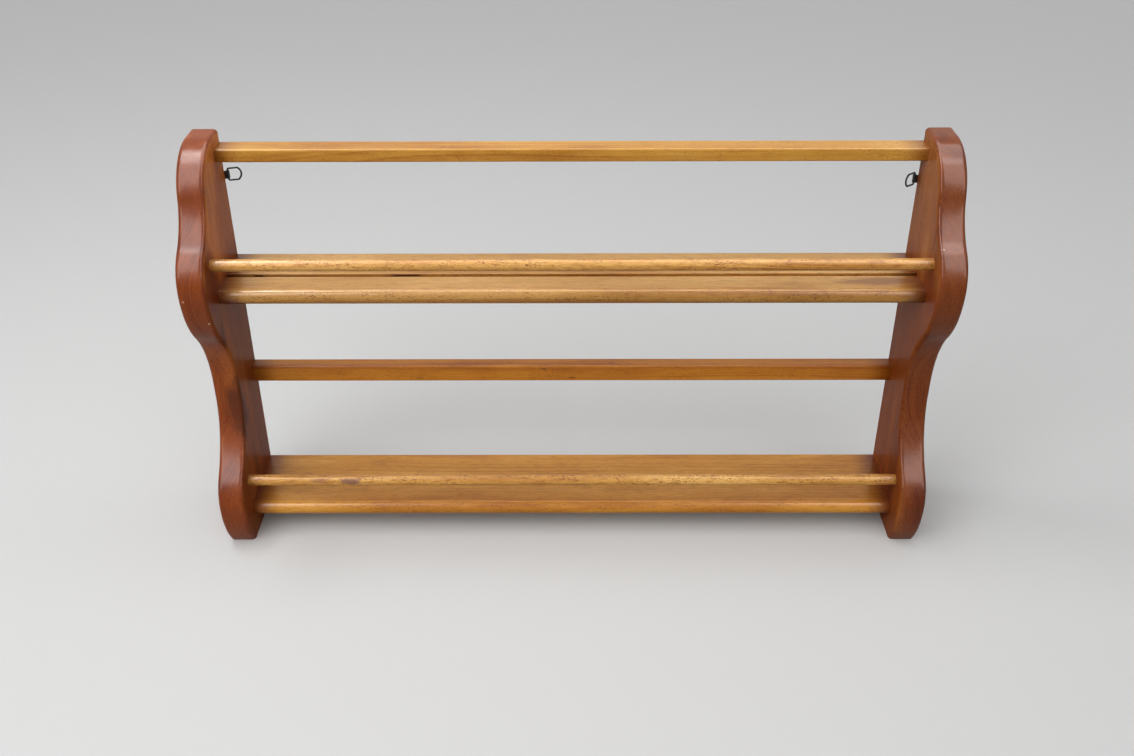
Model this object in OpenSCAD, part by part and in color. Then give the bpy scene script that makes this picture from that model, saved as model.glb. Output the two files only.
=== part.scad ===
// Wall plate rack: two wavy sides carry two grooved shelves, two rails and two front dowels.
// Millimetres, +Z up. The rack stands on its two feet and its front faces -Y.
// The origin is under the middle of the rack, at the level of the feet.

/* [Overall] */
// Width over the outer faces of the two sides
overall_width = 914; // [500:1:1200]
// Height of each side from its foot to its top
side_height = 528; // [505:1:600]
// Depth of each side at its two bellies
side_depth = 148; // [142:0.5:170]
// Thickness of each side
side_thickness = 33; // [24:0.5:45]

/* [Outline of the sides] */
// Length of the flat on top, measured forward from the back edge
top_flat = 26; // [10:0.5:40]
// Radius of the round head
head_radius = 66; // [50:0.5:75]
// Radius of the hollow between the head and the upper shoulder
neck_radius = 82; // [60:1:120]
// Radius above the fullest point of each belly
shoulder_radius = 56; // [45:0.5:65]
// Radius below the fullest point of each belly
belly_radius = 110; // [90:1:130]
// Radius of the long sweep from the upper belly to the waist
sweep_radius = 124; // [100:1:140]
// Depth of the side at its waist
waist_depth = 86; // [78:0.5:95]
// Radius of the hollow from the waist to the lower shoulder
low_neck_radius = 122; // [90:1:135]
// Height of the fullest point of each belly above its shelf
fullest_rise = 17; // [8:0.5:24]

/* [Shelves] */
// Height of the lower shelf's top above the feet
lower_shelf_top = 50; // [40:0.5:58]
// Height from the lower shelf's top to the upper shelf's top
tier_pitch = 313; // [300:0.5:330]
// Thickness of both shelves, and the diameter of their half-round noses
shelf_thickness = 19; // [15:0.5:24]
// Depth of the upper shelf, back edge to nose
upper_shelf_depth = 106.5; // [95:0.5:125]
// Depth of the lower shelf, back edge to nose
lower_shelf_depth = 114.5; // [95:0.5:125]
// Distance from the back edge to the back wall of the plate groove
groove_setback = 57.5; // [50:0.5:65]
// Width of the plate groove
groove_width = 8.5; // [5:0.5:12]
// Depth of the plate groove
groove_depth = 5; // [3:0.5:6]

/* [Rails] */
// Depth of the top rail, back to front
top_rail_depth = 28; // [22:0.5:36]
// Height of the top rail's section
top_rail_height = 16.5; // [12:0.5:24]
// Distance from the top of the sides down to the top rail
top_rail_drop = 15.5; // [10:0.5:30]
// Depth of the middle rail, back to front
middle_rail_depth = 20; // [14:0.5:30]
// Height of the middle rail's section
middle_rail_height = 23; // [20:0.5:34]
// Height of the middle rail's top above the lower shelf
middle_rail_rise = 157.5; // [140:0.5:180]
// Radius of the rounded edges along both rails
rail_arris = 2.2; // [1:0.1:4]

/* [Front dowels] */
// Diameter of the front dowels
dowel_diameter = 14.4; // [10:0.1:18]
// Distance from the back of the rack to the centre of the front dowels
dowel_setback = 110; // [100:0.5:125]
// Height of each front dowel's centre above its shelf
dowel_rise = 37.7; // [28:0.1:45]
// Depth of each round socket in the sides
socket_depth = 14; // [8:0.5:20]
// Gap between a front dowel and the wall of its socket
socket_clearance = 0.1; // [0.05:0.05:0.3]
// Gap between a front dowel's end and the bottom of its socket
socket_end_gap = 0.5; // [0.2:0.1:2]

/* [Glued pins] */
// Diameter of the pins that join the shelves to the sides
shelf_pin_diameter = 8; // [6:0.5:9]
// Length of those pins
shelf_pin_length = 38; // [24:1:40]
// Distance from the back of a shelf to the centre of its first pin
shelf_pin_inset = 16; // [12:0.5:20]
// Diameter of the pins that join the rails to the sides
rail_pin_diameter = 6; // [4:0.5:7]
// Length of those pins
rail_pin_length = 30; // [20:1:40]
// Distance between the centres of the two pins at a rail's end
rail_pin_spacing = 11; // [9:0.5:12]
// Bevel round both ends of every pin
pin_bevel = 0.8; // [0.3:0.1:1.2]
// Gap between a pin and the wall of its hole
pin_clearance = 0.05; // [0.05:0.05:0.2]
// Gap between a pin's end and the bottom of its hole
pin_end_gap = 1; // [0.5:0.1:3]

/* [Hangers] */
// Distance from the top of the sides down to the left hanger's centre
left_hanger_drop = 58.5; // [48:0.5:110]
// Distance from the top of the sides down to the right hanger's centre
right_hanger_drop = 65.5; // [48:0.5:110]
// Turn of the left ring, backward from lying along the back of the rack
left_ring_turn = 16; // [-85:1:165]
// Turn of the right ring, backward from lying along the back of the rack
right_ring_turn = -38; // [-85:1:165]
// Distance from a side's inner face to the ring's straight bar
bar_inset = 3.5; // [3.2:0.1:6]
// Diameter of the ring's wire
wire_diameter = 2.2; // [1.6:0.1:3]
// Outside height of the ring, along its straight bar
ring_height = 17.5; // [16.5:0.5:24]
// Outside length of the ring, from its bar to its bow
ring_length = 18; // [17:0.5:26]
// How far the ring's bow bulges out past the ends of its arms
bow_rise = 4; // [2:0.5:6]
// How much the wire swells at the two sharp corners where the arms meet the bow
corner_swell = 0.02; // [0.02:0.01:0.2]
// Bend radius where the arms meet the straight bar, to the middle of the wire
bar_bend = 1.8; // [1.6:0.1:2.2]
// Thickness of the strap
strap_thickness = 1; // [0.6:0.1:1.5]
// Width of the strap
strap_width = 10; // [8:0.5:10.5]
// Length of the strap from the ring's bar to its round end
strap_length = 20; // [17:0.5:26]
// Gap between the ring's bar and the strap rolled round it
bar_clearance = 0.1; // [0.05:0.05:0.3]
// Slit left between the rolled end of the strap and its flat
roll_slit = 0.4; // [0.3:0.1:0.6]
// Distance from the ring's bar to the strap's screw
screw_setback = 10; // [9:0.5:12]
// Diameter of the screw's shank
screw_diameter = 3; // [2.5:0.1:3.5]
// Length of the screw's shank under its head
screw_length = 16; // [10:0.5:25]
// Length of the screw's pointed tip
screw_tip = 4; // [2:0.5:6]
// Diameter of the screw's head
screw_head_diameter = 6.4; // [5.5:0.1:7]
// Height of the screw's head
screw_head_height = 2; // [1.6:0.1:2.4]
// Width of the two crossed slots in the screw's head
driver_slot = 0.9; // [0.6:0.1:1.2]
// Gap between the screw's shank and the holes it goes through
screw_clearance = 0.05; // [0.05:0.05:0.2]

/* [Hidden] */
$fn = 96;

// How far a cutting shape runs past the face that it cuts
cut_over = 1;

// Inner width between the two sides
inner_width = overall_width - 2 * side_thickness;

// Levels above the feet
upper_shelf_top = lower_shelf_top + tier_pitch;
top_rail_middle = side_height - top_rail_drop - top_rail_height / 2;
middle_rail_middle = lower_shelf_top + middle_rail_rise - middle_rail_height / 2;
left_hanger_level = side_height - left_hanger_drop;
right_hanger_level = side_height - right_hanger_drop;

// Outline of a side, as [distance forward of the back, height] of each arc's centre
lower_fullest = lower_shelf_top + fullest_rise;
upper_fullest = upper_shelf_top + fullest_rise;
head_centre = [top_flat, side_height - head_radius];
upper_shoulder_centre = [side_depth - shoulder_radius, upper_fullest];
lower_shoulder_centre = [side_depth - shoulder_radius, lower_fullest];
upper_belly_centre = [side_depth - belly_radius, upper_fullest];
lower_belly_centre = [side_depth - belly_radius, lower_fullest];
neck_centre = touching_centre(
    upper_shoulder_centre, shoulder_radius, head_centre, head_radius, neck_radius);
sweep_centre = let (forward = waist_depth + sweep_radius)
    [forward, upper_fullest
        - leg(belly_radius + sweep_radius, forward - upper_belly_centre[0])];
low_neck_centre = let (forward = waist_depth + low_neck_radius)
    [forward, lower_fullest
        + leg(shoulder_radius + low_neck_radius, forward - lower_shoulder_centre[0])];

// Each shelf's pins: two behind the groove and one between the groove and the nose
groove_front = groove_setback + groove_width;
function shelf_pin_setbacks(shelf_depth) = [
    shelf_pin_inset,
    groove_setback - shelf_pin_inset,
    (groove_front + shelf_depth - shelf_thickness / 2) / 2
];
shelf_pin_drop = shelf_thickness / 2;

// The strap rolls round the ring's bar, and its flat lies on the back of the side
roll_inner = wire_diameter / 2 + bar_clearance;
roll_outer = roll_inner + strap_thickness;
bar_reach = ring_length - wire_diameter;
ring_half = (ring_height - wire_diameter) / 2;
corner_along = bar_reach - bow_rise;
bow_radius = (ring_half * ring_half + bow_rise * bow_rise) / (2 * bow_rise);
bow_middle = bar_reach - bow_radius;
bow_angle = asin(ring_half / bow_radius);

// The rings reach behind the back of the sides, which sets where the middle of the depth lies
ring_back = roll_outer + bar_reach * sin(max(left_ring_turn, right_ring_turn, 0));
back_reach = max(2 * roll_outer, ring_back + wire_diameter / 2);
back_y = (side_depth - back_reach) / 2;

// Other leg of a right triangle with this hypotenuse and one leg
function leg(hypotenuse, one) = sqrt(hypotenuse * hypotenuse - one * one);

// Centre of a circle of radius r that touches circles a and b from outside, in front of them
function touching_centre(a, a_radius, b, b_radius, r) =
    let (
        span = norm(b - a),
        along = (span * span + pow(a_radius + r, 2) - pow(b_radius + r, 2)) / (2 * span),
        across = leg(a_radius + r, along),
        toward = (b - a) / span
    )
    a + along * toward + across * [toward[1], -toward[0]];

// Point on circle a where a circle round b touches it
function touching_point(a, a_radius, b) = a + a_radius * (b - a) / norm(b - a);

// ---- shared shapes ----

module disc(centre, radius) {
    translate(centre) circle(r = radius);
}

// Lower part of a disc, from its middle down, in front of the back and above the feet
module belly(centre) {
    intersection() {
        disc(centre, belly_radius);
        translate([0, max(0, centre[1] - belly_radius)])
            square([side_depth, min(centre[1], belly_radius)]);
    }
}

module head() {
    intersection() {
        disc(head_centre, head_radius);
        translate([0, head_centre[1]]) square(2 * head_radius);
    }
}

// Face of a side: x is the distance forward of the back, y the height
module side_face() {
    lower_foot = lower_belly_centre[0] + leg(belly_radius, lower_belly_centre[1]);
    difference() {
        union() {
            polygon([
                [0, 0],
                [lower_foot, 0],
                [side_depth, lower_fullest],
                touching_point(lower_shoulder_centre, shoulder_radius, low_neck_centre),
                [waist_depth, low_neck_centre[1]],
                [waist_depth, sweep_centre[1]],
                touching_point(upper_belly_centre, belly_radius, sweep_centre),
                [side_depth, upper_fullest],
                touching_point(upper_shoulder_centre, shoulder_radius, neck_centre),
                touching_point(head_centre, head_radius, neck_centre),
                [top_flat, side_height],
                [0, side_height]
            ]);
            belly(lower_belly_centre);
            belly(upper_belly_centre);
            disc(lower_shoulder_centre, shoulder_radius);
            disc(upper_shoulder_centre, shoulder_radius);
            head();
        }
        disc(low_neck_centre, low_neck_radius);
        disc(sweep_centre, sweep_radius);
        disc(neck_centre, neck_radius);
    }
}

// Turns a section drawn as [distance forward, height] and carries it along -X for a length
module carry(from_x, length) {
    translate([from_x, 0, 0]) rotate([90, 0, -90]) linear_extrude(length) children();
}

// A row of round shapes along X at a side's inner face, at [distance forward, height]
module along_x(points, from_x, length, radius) {
    for (p = points)
        translate([from_x, -p[0], p[1]]) rotate([0, 90, 0]) cylinder(h = length, r = radius);
}

// Where the pins of each joint sit, as [distance forward, height]
function shelf_pin_points(shelf_top, shelf_depth) =
    [for (s = shelf_pin_setbacks(shelf_depth)) [s, shelf_top - shelf_pin_drop]];
upper_shelf_pins = shelf_pin_points(upper_shelf_top, upper_shelf_depth);
lower_shelf_pins = shelf_pin_points(lower_shelf_top, lower_shelf_depth);
top_rail_pins =
    [for (s = [-1, 1]) [top_rail_depth / 2 + s * rail_pin_spacing / 2, top_rail_middle]];
middle_rail_pins =
    [for (s = [-1, 1]) [middle_rail_depth / 2, middle_rail_middle + s * rail_pin_spacing / 2]];

// The holes for both shelves' pins and both rails' pins at the left joint.
// They are drawn through the joint, so the same holes cut the side and what it carries.
module pin_holes() {
    shelf_reach = shelf_pin_length / 2 + pin_end_gap;
    rail_reach = rail_pin_length / 2 + pin_end_gap;
    along_x(concat(upper_shelf_pins, lower_shelf_pins),
        -inner_width / 2 - shelf_reach, 2 * shelf_reach,
        shelf_pin_diameter / 2 + pin_clearance);
    along_x(concat(top_rail_pins, middle_rail_pins),
        -inner_width / 2 - rail_reach, 2 * rail_reach,
        rail_pin_diameter / 2 + pin_clearance);
}

module on_both_ends() {
    children();
    mirror([1, 0, 0]) children();
}

// Puts the back of the rack in its place behind the origin
module in_place() {
    translate([0, back_y, 0]) children();
}

// ---- the sides ----

// The left side: the right one is its mirror image with its own hanger level
module side(hanger_level) {
    difference() {
        carry(-inner_width / 2, side_thickness) side_face();
        pin_holes();
        along_x(
            [for (top = [lower_shelf_top, upper_shelf_top]) [dowel_setback, top + dowel_rise]],
            -inner_width / 2 - socket_depth, socket_depth + cut_over,
            dowel_diameter / 2 + socket_clearance);
        at_hanger(hanger_level)
            translate([-screw_setback, cut_over, 0])
                rotate([90, 0, 0])
                    cylinder(h = screw_length + cut_over, d = screw_diameter + 2 * screw_clearance);
    }
}

module left_side() {
    color([0.55, 0.30, 0.17]) in_place() side(left_hanger_level);
}

module right_side() {
    color([0.55, 0.30, 0.17]) in_place() mirror([1, 0, 0]) side(right_hanger_level);
}

// ---- the shelves ----

module shelf(shelf_top, shelf_depth) {
    nose = shelf_thickness / 2;
    difference() {
        carry(inner_width / 2, inner_width)
            translate([0, shelf_top - shelf_thickness])
                difference() {
                    union() {
                        square([shelf_depth - nose, shelf_thickness]);
                        disc([shelf_depth - nose, nose], nose);
                    }
                    translate([groove_setback, shelf_thickness - groove_depth])
                        square([groove_width, groove_depth + cut_over]);
                }
        on_both_ends() pin_holes();
    }
}

module upper_shelf() {
    color([0.80, 0.58, 0.35]) in_place() shelf(upper_shelf_top, upper_shelf_depth);
}

module lower_shelf() {
    color([0.72, 0.50, 0.26]) in_place() shelf(lower_shelf_top, lower_shelf_depth);
}

// ---- the rails ----

// A rail's section with rounded edges
module rounded_section(depth, height) {
    translate([rail_arris, 0]) square([depth - 2 * rail_arris, height]);
    translate([0, rail_arris]) square([depth, height - 2 * rail_arris]);
    for (x = [rail_arris, depth - rail_arris], y = [rail_arris, height - rail_arris])
        disc([x, y], rail_arris);
}

module rail(middle_level, depth, height) {
    difference() {
        carry(inner_width / 2, inner_width)
            translate([0, middle_level - height / 2]) rounded_section(depth, height);
        on_both_ends() pin_holes();
    }
}

module top_rail() {
    color([0.74, 0.52, 0.28]) in_place() rail(top_rail_middle, top_rail_depth, top_rail_height);
}

module middle_rail() {
    color([0.62, 0.41, 0.17])
        in_place() rail(middle_rail_middle, middle_rail_depth, middle_rail_height);
}

// ---- the front dowels ----

module front_dowel(shelf_top) {
    half = inner_width / 2 + socket_depth - socket_end_gap;
    along_x([[dowel_setback, shelf_top + dowel_rise]], -half, 2 * half, dowel_diameter / 2);
}

module upper_front_dowel() {
    color([0.84, 0.64, 0.40]) in_place() front_dowel(upper_shelf_top);
}

module lower_front_dowel() {
    color([0.80, 0.60, 0.36]) in_place() front_dowel(lower_shelf_top);
}

// ---- the glued pins ----

// Bevelled pins across the left joint, half in the side and half in what it carries
module pins(points, diameter, length) {
    from_x = -(inner_width + length) / 2;
    for (p = points)
        translate([from_x, -p[0], p[1]]) rotate([0, 90, 0]) {
            cylinder(h = pin_bevel, d1 = diameter - 2 * pin_bevel, d2 = diameter);
            translate([0, 0, pin_bevel]) cylinder(h = length - 2 * pin_bevel, d = diameter);
            translate([0, 0, length - pin_bevel])
                cylinder(h = pin_bevel, d1 = diameter, d2 = diameter - 2 * pin_bevel);
        }
}

module shelf_pins(points) {
    color([0.86, 0.74, 0.55]) pins(points, shelf_pin_diameter, shelf_pin_length);
}

module rail_pins(points) {
    color([0.86, 0.74, 0.55]) pins(points, rail_pin_diameter, rail_pin_length);
}

module upper_shelf_left_pins() {
    in_place() shelf_pins(upper_shelf_pins);
}

module upper_shelf_right_pins() {
    in_place() mirror([1, 0, 0]) shelf_pins(upper_shelf_pins);
}

module lower_shelf_left_pins() {
    in_place() shelf_pins(lower_shelf_pins);
}

module lower_shelf_right_pins() {
    in_place() mirror([1, 0, 0]) shelf_pins(lower_shelf_pins);
}

module top_rail_left_pins() {
    in_place() rail_pins(top_rail_pins);
}

module top_rail_right_pins() {
    in_place() mirror([1, 0, 0]) rail_pins(top_rail_pins);
}

module middle_rail_left_pins() {
    in_place() rail_pins(middle_rail_pins);
}

module middle_rail_right_pins() {
    in_place() mirror([1, 0, 0]) rail_pins(middle_rail_pins);
}

// ---- the hangers ----

// Puts a left hanger where its ring's bar crosses the back of the side: x runs to the middle
// of the rack from the bar, and y is the distance behind the back of the side
module at_hanger(level) {
    translate([bar_inset - inner_width / 2, 0, level]) children();
}

// Strap: a flat with a round end on the back of the side, rolled round the ring's bar
module strap() {
    difference() {
        rotate([-90, 0, 0]) linear_extrude(strap_thickness) {
            translate([-strap_length + strap_width / 2, -strap_width / 2])
                square([strap_length - strap_width / 2, strap_width]);
            disc([-strap_length + strap_width / 2, 0], strap_width / 2);
        }
        translate([-screw_setback, -cut_over, 0]) rotate([-90, 0, 0])
            cylinder(h = strap_thickness + 2 * cut_over, d = screw_diameter + 2 * screw_clearance);
        translate([0, roll_outer, -strap_width])
            cylinder(h = 2 * strap_width, r = roll_inner);
    }
    translate([0, roll_outer, -strap_width / 2]) linear_extrude(strap_width)
        difference() {
            circle(r = roll_outer);
            circle(r = roll_inner);
            translate([-2 * roll_outer, strap_thickness - roll_outer])
                square([2 * roll_outer, roll_slit]);
        }
}

// Ring: a straight bar, two arms and a round bow, bent from one wire
module ring(turn) {
    translate([0, roll_outer, 0]) rotate([0, 0, turn]) {
        translate([0, 0, bar_bend - ring_half])
            cylinder(h = 2 * (ring_half - bar_bend), d = wire_diameter);
        for (end = [0, 1]) mirror([0, 0, end]) {
            wire_bend([bar_bend, ring_half - bar_bend], bar_bend, 90, 90);
            translate([bar_bend, 0, ring_half]) rotate([0, 90, 0])
                cylinder(h = corner_along - bar_bend, d = wire_diameter);
            translate([corner_along, 0, ring_half]) sphere(d = wire_diameter + corner_swell);
        }
        wire_bend([bow_middle, 0], bow_radius, -bow_angle, 2 * bow_angle);
    }
}

// A bend of the wire in the XZ plane about [x, z], from one angle over a sweep
module wire_bend(centre, radius, from_angle, sweep) {
    translate([centre[0], 0, centre[1]]) rotate([90, 0, 0]) rotate([0, 0, from_angle])
        rotate_extrude(angle = sweep) translate([radius, 0]) circle(d = wire_diameter);
}

// Screw: round head on the strap, shank and point in the back of the side
module screw() {
    translate([-screw_setback, strap_thickness, 0]) {
        difference() {
            rotate([-90, 0, 0]) rotate_extrude() screw_head_section();
            for (a = [0, 90]) rotate([0, a, 0])
                translate([-screw_head_diameter / 3, screw_head_height / 2, -driver_slot / 2])
                    cube([screw_head_diameter * 2 / 3, screw_head_height, driver_slot]);
        }
        rotate([90, 0, 0]) {
            cylinder(h = screw_length - screw_tip, d = screw_diameter);
            translate([0, 0, screw_length - screw_tip])
                cylinder(h = screw_tip, d1 = screw_diameter, d2 = 0);
        }
    }
}

// Half of the head's section: flat under, low round top with a small upright rim
module screw_head_section() {
    half = screw_head_diameter / 2;
    rim = screw_head_height / 4;
    rise = screw_head_height - rim;
    dome = (half * half + rise * rise) / (2 * rise);
    intersection() {
        square([half, screw_head_height]);
        disc([0, screw_head_height - dome], dome);
    }
}

module left_hanger_strap() {
    color([0.10, 0.10, 0.10]) in_place() at_hanger(left_hanger_level) strap();
}

module right_hanger_strap() {
    color([0.10, 0.10, 0.10])
        in_place() mirror([1, 0, 0]) at_hanger(right_hanger_level) strap();
}

module left_hanger_ring() {
    color([0.08, 0.08, 0.08]) in_place() at_hanger(left_hanger_level) ring(left_ring_turn);
}

module right_hanger_ring() {
    color([0.08, 0.08, 0.08])
        in_place() mirror([1, 0, 0]) at_hanger(right_hanger_level) ring(right_ring_turn);
}

module left_hanger_screw() {
    color([0.12, 0.12, 0.12]) in_place() at_hanger(left_hanger_level) screw();
}

module right_hanger_screw() {
    color([0.12, 0.12, 0.12])
        in_place() mirror([1, 0, 0]) at_hanger(right_hanger_level) screw();
}

left_side();
right_side();
top_rail();
middle_rail();
upper_shelf();
lower_shelf();
upper_front_dowel();
lower_front_dowel();
upper_shelf_left_pins();
upper_shelf_right_pins();
lower_shelf_left_pins();
lower_shelf_right_pins();
top_rail_left_pins();
top_rail_right_pins();
middle_rail_left_pins();
middle_rail_right_pins();
left_hanger_strap();
right_hanger_strap();
left_hanger_ring();
right_hanger_ring();
left_hanger_screw();
right_hanger_screw();
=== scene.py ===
import math

import bpy
import numpy as np
from mathutils import Matrix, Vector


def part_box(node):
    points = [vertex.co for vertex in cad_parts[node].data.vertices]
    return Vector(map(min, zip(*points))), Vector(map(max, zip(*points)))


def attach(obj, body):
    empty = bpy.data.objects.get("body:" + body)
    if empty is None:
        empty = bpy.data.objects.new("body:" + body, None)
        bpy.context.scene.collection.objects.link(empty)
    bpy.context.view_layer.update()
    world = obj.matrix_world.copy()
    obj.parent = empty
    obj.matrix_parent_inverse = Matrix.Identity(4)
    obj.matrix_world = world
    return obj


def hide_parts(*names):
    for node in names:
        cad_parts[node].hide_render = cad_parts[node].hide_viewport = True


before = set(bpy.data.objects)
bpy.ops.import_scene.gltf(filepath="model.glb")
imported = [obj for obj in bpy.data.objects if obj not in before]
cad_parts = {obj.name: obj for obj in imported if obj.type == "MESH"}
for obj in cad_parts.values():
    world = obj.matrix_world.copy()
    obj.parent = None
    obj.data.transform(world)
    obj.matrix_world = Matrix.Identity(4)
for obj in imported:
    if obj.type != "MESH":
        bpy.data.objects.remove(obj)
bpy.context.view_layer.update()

# ---- Camera, lamps and floor ----
# The rack stands on a plain pale floor. The camera, fitted to the rack's edges, looks down from 1.02 m up.
# The lamps are large and soft. Some light the rack, and some only show in its varnish, as a ceiling does.
eye = np.array([0.000392, -1.292297, 1.017515])
tilt_down, swing, roll = 0.552876, -0.004726, 0.003860
forward = np.array([math.sin(swing) * math.cos(tilt_down), math.cos(swing) * math.cos(tilt_down),
                    -math.sin(tilt_down)])
level = np.array([math.cos(swing), -math.sin(swing), 0.0])
below = np.cross(forward, level)
right = math.cos(roll) * level + math.sin(roll) * below
down = -math.sin(roll) * level + math.cos(roll) * below


def standing_at(place, across, up, backward):
    """The matrix of a camera or lamp at place, from the directions of its own X, Y and Z."""
    turned = np.column_stack([across, up, backward])
    return Matrix([(*row, at) for row, at in zip(turned, place)] + [(0, 0, 0, 1)])


lens = bpy.data.cameras.new("photo_camera")
lens.sensor_width = 36.0
lens.lens = 37.579
lens.clip_start = 0.05
camera = bpy.data.objects.new("photo_camera", lens)
bpy.context.collection.objects.link(camera)
camera.matrix_world = standing_at(eye, right, -down, -forward)
bpy.context.scene.camera = camera
bpy.context.scene.view_settings.view_transform = "Standard"


def soft_lamp(name, place, aim, size, power, only_gloss=False):
    """A lamp of the given width and height at place that faces aim, in metres and watts."""
    lamp = bpy.data.lights.new(name, "AREA")
    lamp.shape = "RECTANGLE"
    lamp.size, lamp.size_y = size
    lamp.energy = power
    holder = bpy.data.objects.new(name, lamp)
    bpy.context.collection.objects.link(holder)
    back = np.subtract(place, aim) / np.linalg.norm(np.subtract(place, aim))
    side = np.cross((0.0, 0.0, 1.0), back)
    side = side / np.linalg.norm(side)
    holder.matrix_world = standing_at(place, side, np.cross(back, side), back)
    holder.visible_diffuse, holder.visible_glossy = not only_gloss, only_gloss
    holder.visible_camera = False


soft_lamp("lamp_over_left", (-1.05, 0.12, 2.4), (-0.44, -0.02, 0.5), (0.9, 0.30), 9.5)
soft_lamp("lamp_overhead", (0.0, 0.10, 1.60), (0.0, 0.0, 0.3), (1.6, 0.6), 4.6)
soft_lamp("lamp_front_left", (-1.2, -1.5, 1.9), (0.0, 0.0, 0.3), (1.6, 1.2), 19.0)
soft_lamp("gleam_over_left", (-1.05, 0.12, 2.4), (-0.44, -0.02, 0.5), (0.9, 0.30), 56.0, only_gloss=True)
soft_lamp("gleam_overhead", (0.25, 0.42, 2.15), (0.1, 0.0, 0.3), (2.4, 1.5), 84.0, only_gloss=True)
soft_lamp("gleam_front_left", (-1.1, -1.0, 1.75), (-0.44, 0.0, 0.4), (0.8, 2.5), 62.0, only_gloss=True)
soft_lamp("gleam_front_right", (1.1, -1.0, 1.75), (0.44, 0.0, 0.4), (0.8, 2.5), 50.0, only_gloss=True)
daylight_height, daylight_swing = 48, -14
daylight = bpy.data.lights.new("light_from_front", "SUN")
daylight.energy, daylight.angle = 1.75, math.radians(85)
daylight_holder = bpy.data.objects.new("light_from_front", daylight)
bpy.context.collection.objects.link(daylight_holder)
daylight_holder.rotation_euler = math.radians(90 - daylight_height), 0.0, math.radians(daylight_swing)
daylight_holder.visible_glossy = False


def joined(tree, kind, settings=(), **sockets):
    """Adds one shader node: settings are its own switches, and each socket takes a value or a node's output.
    A socket goes by its name, or by i and its number where the name isn't its own."""
    made = tree.nodes.new(kind)
    for key, value in dict(settings).items():
        setattr(made, key, value)
    for key, value in sockets.items():
        place = int(key[1:]) if key[0] == "i" and key[1:].isdigit() else key.replace("_", " ")
        if isinstance(value, bpy.types.NodeSocket):
            tree.links.new(value, made.inputs[place])
        else:
            made.inputs[place].default_value = value
    return made


def counted(tree, operation, *values, clamp=False):
    """One arithmetic step on plain numbers in a shader."""
    return joined(tree, "ShaderNodeMath", {"operation": operation, "use_clamp": clamp},
                  **{f"i{i}": value for i, value in enumerate(values)}).outputs[0]


def carried(tree, value, start, end, low, high, smooth=False):
    """Carries the span from start to end over to low to high, and holds the value at both ends.
    Smooth, it eases in and out: with t going from 0 to 1 it follows 3 t squared less 2 t cubed."""
    course = {"interpolation_type": "SMOOTHSTEP" if smooth else "LINEAR"}
    made = joined(tree, "ShaderNodeMapRange", course, Value=value, i1=start, i2=end, i3=low, i4=high)
    return made.outputs[0]


def coordinates(tree, kind):
    """The X, Y and Z of one kind of texture coordinate."""
    own = tree.nodes.new("ShaderNodeTexCoord").outputs[kind]
    return joined(tree, "ShaderNodeSeparateXYZ", Vector=own).outputs


def in_plain_sight(tree):
    """1 for a ray from the camera, also by way of varnish or glass, and 0 for one that gathers light."""
    path = tree.nodes.new("ShaderNodeLightPath").outputs
    seen = counted(tree, "MAXIMUM", path["Is Camera Ray"], path["Is Glossy Ray"])
    return counted(tree, "MAXIMUM", seen, path["Is Transmission Ray"])


world = bpy.data.worlds.new("studio")
bpy.context.scene.world = world
world.use_nodes = True
air = world.node_tree
air.nodes.clear()
overhead = carried(air, coordinates(air, "Generated")["Z"], 0.0, 1.0, 0.36, 0.20)
fill = joined(air, "ShaderNodeBackground", Color=(0.97, 0.98, 1.0, 1.0), Strength=overhead)
white = joined(air, "ShaderNodeBackground", Color=(1.0, 1.0, 1.0, 1.0), Strength=1.0)
sky = joined(air, "ShaderNodeMixShader", Fac=in_plain_sight(air), i1=fill.outputs[0], i2=white.outputs[0])
joined(air, "ShaderNodeOutputWorld", Surface=sky.outputs[0])

floor_reach = 40
floor_mesh = bpy.data.meshes.new("floor")
floor_corners = [(-floor_reach, -floor_reach, 0), (floor_reach, -floor_reach, 0),
                 (floor_reach, floor_reach, 0), (-floor_reach, floor_reach, 0)]
floor_mesh.from_pydata(floor_corners, [], [(0, 1, 2, 3)])
floor = bpy.data.objects.new("floor", floor_mesh)
bpy.context.collection.objects.link(floor)
floor_paint = bpy.data.materials.new("pale_floor")
floor_paint.use_nodes = True
floor_tree = floor_paint.node_tree
floor_shader = floor_tree.nodes["Principled BSDF"]
pale = joined(floor_tree, "ShaderNodeMix", {"data_type": "RGBA"}, i0=in_plain_sight(floor_tree),
              i6=(0.26, 0.26, 0.25, 1.0), i7=(0.62, 0.62, 0.615, 1.0))
floor_tree.links.new(pale.outputs[2], floor_shader.inputs["Base Color"])
floor_shader.inputs["Roughness"].default_value = 0.85
floor_shader.inputs["Specular IOR Level"].default_value = 0.15
floor_mesh.materials.append(floor_paint)

# ---- The two sides ----
# Each side is one 33 mm board of pine, sawn to a wavy front line and stained red brown under gloss varnish.
# Its front and top edges are rounded over to 5 mm; the back edge and the foot are left nearly sharp.
def cad_corners(node):
    """The lowest and highest corner of a CAD piece in metres, to a tenth of a micron."""
    return np.round(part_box(node), 7)


side_low, side_high = cad_corners("left_side")
BACK = side_high[1]
inner_face = -side_high[0]
side_thick = side_high[0] - side_low[0]
side_depth = side_high[1] - side_low[1]
side_height = side_high[2]
lower_top, upper_top = (cad_corners(shelf)[1][2] for shelf in ("lower_shelf", "upper_shelf"))
rounding, crisp = 0.005, 0.0009
top_flat, waist_depth, fullest_rise = 0.026, 0.086, 0.017
head_radius, neck_radius, shoulder_radius = 0.066, 0.082, 0.056
belly_radius, sweep_radius, low_neck_radius = 0.110, 0.124, 0.122


def third_side(longest, other):
    """The third side of a right triangle, to a hundredth of a millimetre: the root of the longest side
    squared less the other one squared."""
    return round(math.sqrt(longest ** 2 - other ** 2), 5)


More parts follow.
